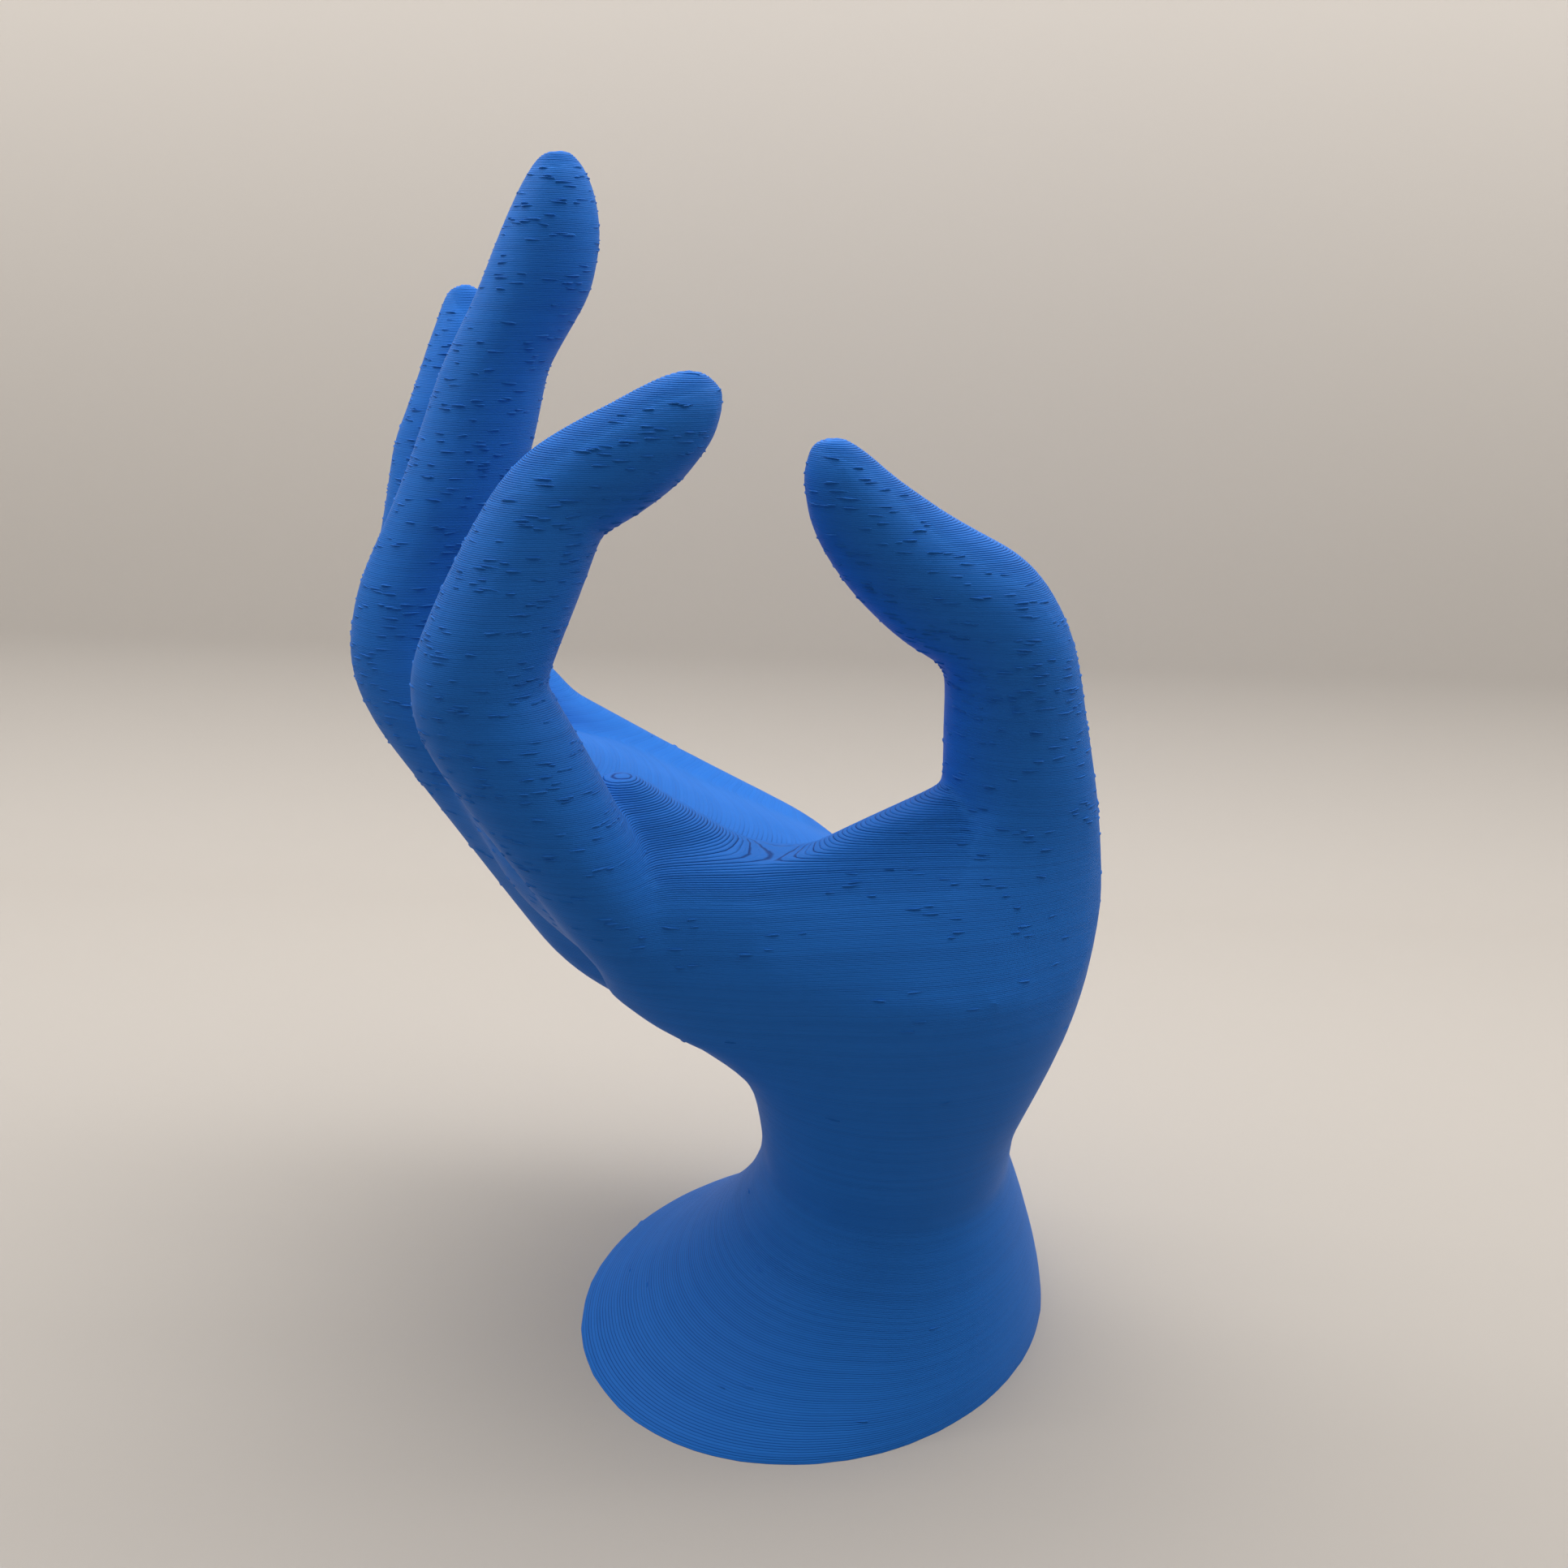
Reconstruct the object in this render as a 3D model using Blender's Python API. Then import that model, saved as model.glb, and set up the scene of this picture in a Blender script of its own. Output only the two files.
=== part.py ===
"""A hand jewelry stand: a slim left hand, bent back at the wrist and rising from a flared round foot.

The thumb and the index finger curl towards each other and leave an open ring for bracelets and rings,
and the other three fingers fan out behind them. The whole stand is one solid print.

Each limb is a loft: rings of points carried along a smooth line through the limb's own stations, a
station being a place on the limb's middle line with the limb's thickness and breadth there. The lofts
overlap, a voxel remesh fuses them into one skin, and smoothing turns the joints between them into the
soft webs and hollows of a hand. Sizes are in millimetres.
"""

import math

import bmesh
import bpy
import numpy as np

MM = 0.001

# Foot: an oval turned off the hand's axis, which eases into the neck above it. The flare is hollow under
# the back of the hand, on the left, and rounded outwards under the thumb, on the right.
FOOT_CENTRE = (1.1, 3.2)
FOOT_HALF_LENGTH = 42.0
FOOT_HALF_WIDTH = 35.8
FOOT_TURN = math.radians(54.0)
NECK_HEIGHT = 30.0
NECK_CENTRE = (11.0, 3.0)
NECK_HALF_WIDTH = 19.2
NECK_HALF_DEPTH = 23.0
HOLLOW_FLARE_POWER = 2.2
ROUND_FLARE_POWER = 1.35
BELOW_FLOOR = 4.0

# Palm, from the wrist to the knuckles: middle line, then thickness and breadth.
PALM = (
    (11.0, 3.0, 27.0, 38.8, 46.0),
    (11.0, 3.0, 38.0, 40.6, 48.0),
    (7.0, 4.0, 50.0, 40.0, 54.0),
    (-2.0, 6.0, 59.0, 35.0, 60.0),
    (-13.0, 7.0, 66.0, 28.0, 65.0),
    (-26.0, 8.0, 73.0, 23.0, 67.0),
    (-38.0, 8.5, 80.5, 19.0, 62.0),
    (-45.0, 9.0, 85.5, 14.5, 48.0),
    (-51.0, 9.5, 90.5, 11.5, 34.0),
)
# The raised border of the palm below the little finger, from inside the wrist to the finger's knuckle.
HEEL_BORDER = (
    (12.0, 13.0, 38.0, 25.0, 24.0),
    (5.0, 20.0, 50.6, 25.2, 24.0),
    (-6.0, 27.0, 62.6, 24.4, 21.4),
    (-19.0, 32.0, 70.3, 20.4, 19.0),
    (-31.0, 36.0, 77.0, 16.6, 17.0),
    (-42.0, 39.0, 83.2, 14.0, 15.4),
    (-50.0, 41.0, 88.0, 11.6, 13.0),
)
# The side of the hand that faces the thumb, as level sections: it closes the space between the thumb's
# root, the web and the index finger's knuckle down to the wrist.
THUMB_SIDE = (
    (11.0, -2.0, 30.0, 38.0, 38.0),
    (10.6, -3.0, 41.0, 40.6, 40.0),
    (10.4, -5.0, 47.0, 45.2, 39.0),
    (9.0, -7.0, 51.5, 51.0, 37.0),
    (6.6, -9.5, 56.0, 57.4, 34.0),
    (4.0, -12.0, 61.0, 62.0, 31.0),
    (2.0, -14.5, 67.0, 60.0, 27.0),
    (3.5, -16.5, 74.0, 57.0, 22.0),
    (4.0, -17.0, 80.0, 46.0, 16.0),
)

# The thumb's root, and the web that joins it to the index finger's knuckle.
THENAR = (
    (13.0, -2.0, 36.0, 31.0, 34.0),
    (17.8, -5.0, 50.0, 31.4, 36.0),
    (23.6, -6.0, 64.0, 29.4, 32.0),
    (27.4, -5.5, 76.0, 25.2, 25.0),
    (27.6, -5.0, 84.0, 22.4, 21.0),
)
WEB = (
    (20.0, -7.0, 74.5, 36.5, 20.0),
    (8.0, -13.0, 71.6, 34.6, 21.0),
    (-4.0, -18.0, 69.6, 31.2, 21.0),
    (-15.0, -19.0, 71.4, 29.4, 19.5),
    (-27.0, -19.0, 76.0, 23.0, 17.0),
)
# The fleshy pad at the root of the index finger, which stands above the hollow of the palm.
INDEX_PAD = (
    (-24.0, -12.0, 72.0, 20.0, 20.0),
    (-26.5, -12.5, 80.0, 20.0, 19.0),
    (-28.4, -12.8, 87.0, 16.0, 16.0),
    (-29.2, -13.0, 91.6, 10.4, 10.4),
    (-29.4, -13.0, 94.2, 4.8, 5.0),
)
# The crest that falls from the pad to the lowest point of the web.
PALM_CREST = (
    (-34.0, -13.0, 87.0, 12.0, 15.0),
    (-29.4, -13.0, 85.0, 16.8, 18.0),
    (-22.8, -13.0, 81.2, 17.6, 19.0),
    (-15.4, -13.5, 77.4, 17.6, 19.0),
    (-8.0, -14.5, 76.2, 17.6, 19.0),
    (0.0, -15.0, 77.0, 16.6, 18.0),
)

# Digits, from the root to the tip: middle line, then thickness and breadth.
INDEX = (
    (-22.6, -19.5, 69.4, 13.0, 17.0),
    (-28.4, -22.0, 78.1, 14.6, 17.6),
    (-32.7, -24.0, 85.4, 15.2, 17.2),
    (-37.0, -24.5, 92.5, 16.4, 17.0),
    (-41.5, -24.5, 99.8, 17.4, 16.6),
    (-45.2, -24.0, 105.8, 17.6, 16.6),
    (-45.7, -24.0, 110.0, 17.0, 16.6),
    (-44.1, -23.5, 114.9, 16.6, 16.0),
    (-42.0, -22.5, 120.0, 16.2, 15.4),
    (-39.5, -21.0, 125.7, 15.6, 15.0),
    (-37.4, -20.0, 130.0, 14.6, 14.8),
    (-34.9, -19.0, 133.2, 13.6, 14.6),
    (-30.4, -18.5, 135.9, 13.8, 14.0),
    (-25.8, -18.0, 138.9, 13.0, 13.2),
    (-21.8, -17.5, 142.3, 11.2, 11.4),
    (-18.7, -17.0, 145.4, 8.2, 8.6),
    (-17.0, -17.0, 147.4, 4.6, 4.8),
)
MIDDLE = (
    (-24.0, 1.0, 59.5, 15.0, 18.0),
    (-32.9, 1.4, 66.6, 18.0, 18.4),
    (-40.0, 2.2, 75.5, 18.6, 18.4),
    (-46.9, 3.4, 84.3, 18.8, 17.8),
    (-53.6, 4.5, 92.8, 18.6, 16.8),
    (-59.4, 6.4, 99.7, 18.4, 16.4),
    (-62.0, 7.6, 104.6, 17.6, 16.4),
    (-62.2, 8.5, 108.6, 17.0, 16.8),
    (-61.3, 9.0, 113.4, 16.4, 16.2),
    (-58.6, 10.0, 120.0, 16.0, 15.6),
    (-55.3, 11.0, 127.9, 15.9, 15.2),
    (-52.4, 12.5, 136.1, 15.8, 15.0),
    (-50.4, 13.5, 143.1, 15.0, 14.8),
    (-48.4, 14.0, 148.5, 13.6, 14.6),
    (-45.7, 14.5, 153.7, 13.8, 14.2),
    (-43.0, 15.0, 159.3, 14.6, 13.8),
    (-41.3, 15.5, 165.6, 13.0, 12.6),
    (-40.8, 15.5, 170.6, 9.8, 9.8),
    (-40.9, 15.5, 173.4, 6.6, 6.8),
    (-41.1, 15.5, 174.9, 3.4, 3.6),
)
RING = (
    (-28.0, 15.0, 66.0, 17.0, 17.0),
    (-38.0, 17.0, 75.0, 17.6, 17.4),
    (-48.0, 21.0, 84.0, 17.6, 16.4),
    (-57.0, 25.0, 92.5, 17.4, 15.6),
    (-63.5, 28.0, 99.5, 17.0, 15.4),
    (-66.0, 29.4, 104.5, 16.4, 15.4),
    (-66.4, 30.4, 109.0, 15.8, 15.2),
    (-65.2, 31.6, 115.0, 15.0, 14.8),
    (-64.1, 33.4, 123.0, 14.6, 14.2),
    (-63.0, 35.2, 131.0, 14.4, 14.0),
    (-61.4, 36.2, 137.0, 13.0, 13.6),
    (-59.6, 37.8, 143.0, 12.8, 13.2),
    (-58.6, 39.0, 148.0, 12.0, 12.2),
    (-58.9, 39.8, 152.0, 9.4, 9.6),
    (-59.5, 40.2, 155.0, 6.2, 6.4),
    (-59.8, 40.4, 156.5, 3.2, 3.4),
)
LITTLE = (
    (-22.0, 30.0, 65.5, 15.0, 15.0),
    (-31.0, 32.5, 72.5, 15.0, 15.4),
    (-41.0, 36.5, 79.2, 14.8, 14.8),
    (-49.5, 40.6, 87.0, 15.2, 14.0),
    (-56.5, 44.6, 93.5, 14.6, 13.6),
    (-59.6, 46.8, 98.5, 14.0, 13.2),
    (-60.8, 48.6, 103.5, 13.4, 13.0),
    (-60.6, 50.8, 110.0, 12.8, 12.6),
    (-60.2, 52.6, 117.0, 12.2, 12.2),
    (-59.6, 54.0, 122.5, 11.2, 11.8),
    (-58.6, 55.0, 128.0, 11.0, 11.2),
    (-58.0, 56.2, 132.5, 9.6, 9.8),
    (-58.0, 57.0, 136.0, 6.4, 6.6),
    (-58.1, 57.4, 137.8, 3.2, 3.4),
)
THUMB = (
    (27.2, -5.5, 70.0, 24.4, 24.0),
    (27.8, -5.0, 79.0, 23.6, 22.0),
    (27.3, -5.0, 86.0, 22.6, 20.4),
    (26.5, -5.0, 92.5, 21.6, 19.4),
    (25.4, -5.0, 100.1, 20.3, 18.4),
    (24.5, -5.5, 106.8, 19.0, 18.2),
    (23.0, -6.0, 112.2, 18.2, 18.4),
    (19.5, -6.5, 117.0, 18.2, 18.2),
    (14.2, -7.0, 120.0, 18.0, 17.6),
    (9.4, -7.5, 123.3, 16.8, 16.8),
    (5.0, -8.0, 127.1, 15.2, 15.4),
    (1.4, -9.0, 131.3, 12.9, 13.2),
    (-1.0, -9.5, 135.5, 9.8, 10.2),
    (-2.2, -9.5, 138.4, 6.4, 6.8),
    (-2.6, -9.5, 139.8, 3.4, 3.6),
)
PALM_PARTS = (PALM, HEEL_BORDER, THENAR, WEB, INDEX_PAD, PALM_CREST)
DIGITS = (INDEX, MIDDLE, RING, LITTLE, THUMB)

# How finely the limbs are lofted, fused and finished.
SIDES = 28
RINGS_PER_STATION = 4
FOOT_SIDES = 72
FOOT_RINGS = 28
INTO_WRIST = 4.0
VOXEL = 0.9
SKIN_SMOOTHING = 4
WEB_SMOOTHING = 60
SKIN_TRIANGLES = 11400
SNAP_TO_FLOOR = 0.02
SHARP_ANGLE = math.radians(50.0)

# Heights between which the joints are softened fully, and the heights at which the softening ends.
WEBS_FROM = (22.0, 36.0)
WEBS_TO = (78.0, 92.0)
WEB_LEVELS = 10

PLASTIC_COLOUR = (0.018, 0.098, 0.42, 1.0)
PLASTIC_ROUGHNESS = 0.62


def clear_scene():
    for obj in list(bpy.data.objects):
        bpy.data.objects.remove(obj, do_unlink=True)


def smooth_line(stations, per_station):
    """A Catmull-Rom curve through the stations: every column, sizes too, runs smoothly."""
    knots = np.array(stations, float)
    before = 2 * knots[:1] - knots[1:2]
    after = 2 * knots[-1:] - knots[-2:-1]
    padded = np.concatenate([before, knots, after])
    p0, p1, p2, p3 = padded[:-3], padded[1:-2], padded[2:-1], padded[3:]
    rows = []
    for t in np.arange(per_station) / per_station:
        rows.append(
            0.5
            * (
                2 * p1
                + (p2 - p0) * t
                + (2 * p0 - 5 * p1 + 4 * p2 - p3) * t * t
                + (3 * p1 - p0 - 3 * p2 + p3) * t**3
            )
        )
    curve = np.stack(rows, axis=1).reshape(-1, knots.shape[1])
    return np.concatenate([curve, knots[-1:]])


def add_loft(bm, stations, level=False):
    """Bridges rings square to the middle line, or level: thickness in the bending plane, breadth across."""
    line = smooth_line(stations, RINGS_PER_STATION)
    along = np.gradient(line[:, :3], axis=0)
    if level:
        along[:] = (0.0, 0.0, 1.0)
    along /= np.linalg.norm(along, axis=1, keepdims=True)
    across = np.cross(along, (0.0, 1.0, 0.0))
    across /= np.linalg.norm(across, axis=1, keepdims=True)
    broad = np.cross(across, along)
    angle = np.arange(SIDES) * 2 * math.pi / SIDES
    loops = []
    for centre, thick, wide, size in zip(line[:, :3], across, broad, line[:, 3:5]):
        ring = (
            centre
            + np.outer(np.cos(angle), thick) * size[0] / 2
            + np.outer(np.sin(angle), wide) * size[1] / 2
        )
        loops.append([bm.verts.new(point * MM) for point in ring])
    skin_loops(bm, loops)


def skin_loops(bm, loops):
    """Joins each ring of vertices to the next with a band of faces and closes both ends."""
    for low, high in zip(loops[:-1], loops[1:]):
        for i in range(len(low)):
            j = (i + 1) % len(low)
            bm.faces.new((low[i], low[j], high[j], high[i]))
    bm.faces.new(loops[0][::-1])
    bm.faces.new(loops[-1])


def oval(centre, half_a, half_b, turn, direction):
    """Points of an oval in the plane, one for each direction, a direction being seen from its middle."""
    a = np.cos(direction - turn) / half_a
    b = np.sin(direction - turn) / half_b
    reach = 1.0 / np.sqrt(a * a + b * b)
    return np.stack([centre[0] + reach * np.cos(direction), centre[1] + reach * np.sin(direction)], axis=1)


def add_foot(bm):
    """A flare from the foot's oval to the neck's oval: hollow on one side, rounded on the other."""
    direction = np.arange(FOOT_SIDES) * 2 * math.pi / FOOT_SIDES
    foot = oval(FOOT_CENTRE, FOOT_HALF_LENGTH, FOOT_HALF_WIDTH, FOOT_TURN, direction)
    neck = oval(NECK_CENTRE, NECK_HALF_WIDTH, NECK_HALF_DEPTH, 0.0, direction)
    rightness = np.clip(np.cos(direction), 0.0, 1.0)
    loops = []
    for height in np.linspace(-BELOW_FLOOR, NECK_HEIGHT + INTO_WRIST, FOOT_RINGS):
        level = min(max(height / NECK_HEIGHT, 0.0), 1.0)
        hollow = (1.0 - level) ** HOLLOW_FLARE_POWER
        rounded = 1.0 - level**ROUND_FLARE_POWER
        spread = hollow + (rounded - hollow) * rightness
        plan = neck + (foot - neck) * spread[:, None]
        ring = np.concatenate([plan, np.full((FOOT_SIDES, 1), height)], axis=1)
        loops.append([bm.verts.new(point * MM) for point in ring])
    skin_loops(bm, loops)


def limbs_mesh():
    """Foot, palm and digits as closed lofts that overlap where the hand joins them."""
    bm = bmesh.new()
    add_foot(bm)
    add_loft(bm, THUMB_SIDE, level=True)
    for stations in PALM_PARTS + DIGITS:
        add_loft(bm, stations)
    bmesh.ops.recalc_face_normals(bm, faces=bm.faces[:])
    mesh = bpy.data.meshes.new("hand_stand")
    bm.to_mesh(mesh)
    bm.free()
    return mesh


def evaluated_mesh(obj):
    graph = bpy.context.evaluated_depsgraph_get()
    return bpy.data.meshes.new_from_object(obj.evaluated_get(graph))


def replace_mesh(obj):
    """Makes the result of the object's modifiers its mesh."""
    mesh = evaluated_mesh(obj)
    obj.modifiers.clear()
    old = obj.data
    obj.data = mesh
    bpy.data.meshes.remove(old)
    mesh.name = obj.name


def fuse(obj):
    remesh = obj.modifiers.new("fuse limbs", "REMESH")
    remesh.mode = "VOXEL"
    remesh.voxel_size = VOXEL * MM
    replace_mesh(obj)


def web_weight(height):
    """1 where the digits and the foot meet the palm, falling to 0 on the free digits and the foot's rim."""
    low = (height - WEBS_FROM[0]) / (WEBS_FROM[1] - WEBS_FROM[0])
    high = (WEBS_TO[1] - height) / (WEBS_TO[1] - WEBS_TO[0])
    return np.clip(low, 0.0, 1.0) * np.clip(high, 0.0, 1.0)


def smooth_skin(obj):
    points = np.empty(len(obj.data.vertices) * 3)
    obj.data.vertices.foreach_get("co", points)
    weight = web_weight(points[2::3] / MM)
    group = obj.vertex_groups.new(name="webs")
    for level in range(1, WEB_LEVELS + 1):
        chosen = np.nonzero(np.round(weight * WEB_LEVELS) == level)[0]
        group.add(chosen.tolist(), level / WEB_LEVELS, "REPLACE")
    webs = obj.modifiers.new("soften webs", "SMOOTH")
    webs.factor = 0.5
    webs.iterations = WEB_SMOOTHING
    webs.vertex_group = group.name
    skin = obj.modifiers.new("soften skin", "SMOOTH")
    skin.factor = 0.5
    skin.iterations = SKIN_SMOOTHING
    replace_mesh(obj)
    obj.vertex_groups.clear()


def thin_out(obj):
    faces = obj.data
    faces.calc_loop_triangles()
    decimate = obj.modifiers.new("fewer faces", "DECIMATE")
    decimate.ratio = SKIN_TRIANGLES / len(faces.loop_triangles)
    decimate.use_collapse_triangulate = True
    replace_mesh(obj)


def cut_flat_at_floor(obj):
    bm = bmesh.new()
    bm.from_mesh(obj.data)
    everything = bm.verts[:] + bm.edges[:] + bm.faces[:]
    cut = bmesh.ops.bisect_plane(
        bm, geom=everything, plane_co=(0, 0, 0), plane_no=(0, 0, 1), clear_inner=True, dist=SNAP_TO_FLOOR * MM
    )
    rim = [edge for edge in cut["geom_cut"] if isinstance(edge, bmesh.types.BMEdge)]
    bmesh.ops.holes_fill(bm, edges=rim, sides=0)
    bmesh.ops.triangulate(bm, faces=bm.faces[:])
    bmesh.ops.recalc_face_normals(bm, faces=bm.faces[:])
    bm.to_mesh(obj.data)
    bm.free()


def centre_over_floor(obj):
    """Moves the mesh so that the origin is under the middle of its box."""
    points = np.empty(len(obj.data.vertices) * 3, np.float32)
    obj.data.vertices.foreach_get("co", points)
    points = points.reshape(-1, 3)
    middle = (points.min(axis=0) + points.max(axis=0)) / 2
    points[:, :2] -= middle[:2]
    obj.data.vertices.foreach_set("co", points.reshape(-1))
    obj.data.update()


def blue_plastic():
    material = bpy.data.materials.new("blue_plastic")
    material.use_nodes = True
    shader = material.node_tree.nodes["Principled BSDF"]
    shader.inputs["Base Color"].default_value = PLASTIC_COLOUR
    shader.inputs["Roughness"].default_value = PLASTIC_ROUGHNESS
    shader.inputs["Metallic"].default_value = 0.0
    return material


def make_hand_stand():
    obj = bpy.data.objects.new("hand_stand", limbs_mesh())
    bpy.context.scene.collection.objects.link(obj)
    fuse(obj)
    smooth_skin(obj)
    thin_out(obj)
    cut_flat_at_floor(obj)
    centre_over_floor(obj)
    obj.data.materials.clear()
    obj.data.materials.append(blue_plastic())
    obj.data.shade_smooth()
    obj.data.set_sharp_from_angle(angle=SHARP_ANGLE)


clear_scene()
make_hand_stand()
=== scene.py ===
"""Dresses a printed hand stand for jewelry: layered skin, seam marks, pale stage, soft light and camera."""

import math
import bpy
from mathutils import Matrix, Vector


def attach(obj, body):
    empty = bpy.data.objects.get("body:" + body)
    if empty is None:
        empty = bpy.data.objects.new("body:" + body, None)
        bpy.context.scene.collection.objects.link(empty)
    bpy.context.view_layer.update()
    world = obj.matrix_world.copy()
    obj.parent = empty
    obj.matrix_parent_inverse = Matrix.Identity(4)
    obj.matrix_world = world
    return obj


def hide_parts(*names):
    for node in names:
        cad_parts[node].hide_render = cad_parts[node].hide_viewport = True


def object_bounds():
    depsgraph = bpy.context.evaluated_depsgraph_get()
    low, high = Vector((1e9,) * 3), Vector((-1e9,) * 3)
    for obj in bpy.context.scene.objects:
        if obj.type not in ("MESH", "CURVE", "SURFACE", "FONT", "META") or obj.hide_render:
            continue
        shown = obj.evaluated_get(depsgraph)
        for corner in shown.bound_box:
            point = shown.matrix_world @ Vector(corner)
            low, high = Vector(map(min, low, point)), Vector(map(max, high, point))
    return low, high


bl_info = {
    "name": "Printed Hand Stand",
    "version": (1, 0, 0),
    "blender": (4, 5, 0),
    "location": "3D View > Sidebar > Hand Stand",
    "description": "Gives a printed hand stand its layers, seam marks, stage, light and camera",
    "category": "Object",
}

import bpy
import numpy as np
from bpy.props import FloatProperty, FloatVectorProperty, IntProperty, PointerProperty
from bpy.types import Operator, Panel, PropertyGroup
from mathutils import Matrix, Vector

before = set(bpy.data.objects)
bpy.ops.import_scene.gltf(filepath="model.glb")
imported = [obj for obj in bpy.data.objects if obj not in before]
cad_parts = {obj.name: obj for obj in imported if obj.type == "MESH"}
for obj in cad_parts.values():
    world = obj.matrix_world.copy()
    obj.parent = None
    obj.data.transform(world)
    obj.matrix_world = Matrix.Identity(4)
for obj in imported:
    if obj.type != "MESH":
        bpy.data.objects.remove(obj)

MM = 0.001
NODE = "hand_stand"
CAD_LOW, CAD_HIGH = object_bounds()

# The camera of the photograph: its place in millimetres, its tilt below the horizon and its roll.
CAMERA_PLACE = (10.71, -225.26, 160.0)
CAMERA_TILT = math.radians(18.35)
CAMERA_ROLL = 0.033
# The width of its sensor in millimetres, and its focal length, which is 1900 of the picture's 1932 pixels.
SENSOR_WIDTH = 36.0
CAMERA_LENS = SENSOR_WIDTH * 1900.0 / 1932.0

# Places on the skin in millimetres: the two ends of a line, the reach of full effect and of any.
LEDGE_UNDER_THUMB = ((20.0, -36.0, 79.0), (48.0, -29.0, 79.0), 5.0, 13.0)
INDEX_TIP = ((0.0, -31.0, 146.0), (3.0, -29.0, 145.5), 2.5, 7.0)
# The places that are evened out, in order, and how many rounds each takes.
EVENED_OUT = ((LEDGE_UNDER_THUMB, 160), (INDEX_TIP, 8))

# The bowl of the palm in millimetres: where it sets in and is full, first going back from the crest and
# then going up, and where it fades and ends further up. The first pair moves back by the slant for each
# unit to the right.
BOWL_FRONT = (-14.0, -4.0)
BOWL_SLANT = 0.12
BOWL_LOWER_END = (66.0, 74.0)
BOWL_UPPER_END = (100.0, 108.0)

# Points lower than this lie on the floor, in metres.
FLOOR_TOUCH = 2.0e-5
# Edges that turn more sharply than this stay crisp.
CRISP_EDGE = math.radians(24.0)
# Decimal places of a metre to which points have to agree to become one: the CAD's corners, and the cuts.
SAME_CORNER = 7
SAME_CUT = 8
# The steps have their full height above this many times the lowest step's height.
FULL_STEPS_ABOVE = 1.15

# Seam marks. They reach their full density at this share of the stand's height above the lowest, they are
# never rarer than the least density, and they thin out and end where the skin faces up this much.
DENSITY_RISE = 0.25
LEAST_DENSITY = 0.01
DENSITY_UPWARD = (0.45, 0.75)
# The least and the most of the usual length, height and thickness that a mark has, and its usual tilt.
LENGTH_SPREAD = (0.55, 1.25)
WIDTH_SPREAD = (0.75, 1.2)
PROUD_SPREAD = (0.6, 1.25)
MARK_TILT = math.radians(3.0)
# The sharpest bend of the skin that a mark follows, in radians for each metre.
SHARPEST_BEND = 250.0
# How many points a mark has along and across.
MARK_ROWS = 8
MARK_COLUMNS = 4
# Its half height: the share that it has in the middle, and what the head gains and the tail loses.
MARK_BODY = 0.62
MARK_HEAD = 0.38
# How far its middle bulges and how deep its rim is sunk in the skin, in thicknesses.
MARK_BULGE = 1.25
MARK_SUNK = 0.18
# The share of the darker colour painted as shadow along its lower edge, and how far the layers show on it
# as steps.
MARK_SHADE = 0.2
MARK_STEPS = 0.7

# The painted shade in the grooves between the layers: where it ends beside the foot of a step's face, and
# over what part of that it fades, both in layers.
GROOVE_SHADE_END = 0.15
GROOVE_SHADE_FADE = 0.10
# The share of the darker colour painted as shade in the grooves on a wall, and what facing up, under the
# light from above, adds to it.
GROOVE_SHADE_ON_WALL = 0.10
GROOVE_SHADE_ON_TOP = 0.72
# The weight of the faintest layer, where that of the strongest is 1.
LEAST_WEIGHT = 0.5

# The plastic: the scales of its cloudiness and of its fine grain, and the depth of that grain.
CLOUD_SCALE = 90.0
GRAIN_SCALE = 2600.0
GRAIN_DEPTH = 0.006 * MM
# The shares of the darker colour that each layer's own tone and the cloudiness bring.
TONE_SHARE = 0.08
CLOUD_SHARE = 0.12
# How much the roughness varies with the cloudiness, the strength of the shine, and the soft sheen.
ROUGHNESS_RANGE = 0.12
PLASTIC_SHINE = 0.07
SHEEN = 0.02
SHEEN_ROUGHNESS = 0.4

# The paper: scale of its cloudiness, how bright its darker clouds are, its roughness and its shine.
PAPER_CLOUD_SCALE = 3.0
PAPER_DARKER = 0.96
PAPER_ROUGHNESS = 0.95
PAPER_SHINE = 0.1

# The paper sweep in metres: the front edge, the start of the bend, its radius, the top and half the width.
SWEEP_FRONT = -1.2
SWEEP_BEND = 0.155
SWEEP_RADIUS = 0.055
SWEEP_TOP = 0.28
SWEEP_HALF_WIDTH = 2.0
# How many points it has along the floor, round the bend, up the wall and along the width.
SWEEP_POINTS = (12, 33, 8, 21)

# Each light in metres: its place, the place it faces, and its width and depth.
STAND_MIDDLE = (0.0, 0.0, 0.09)
OVERHEAD_LIGHT = ((0.02, 0.12, 0.50), STAND_MIDDLE, (1.1, 0.8))
FRONT_LIGHT = ((-0.55, -0.25, 0.40), STAND_MIDDLE, (0.5, 0.5))
WALL_LIGHT = ((0.0, 0.04, 0.36), (0.0, 0.21, 0.14), (1.4, 0.1))
WARM_WHITE = (1.0, 0.97, 0.93)
TENT_CLOTH = (0.62, 0.57, 0.52)


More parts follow.
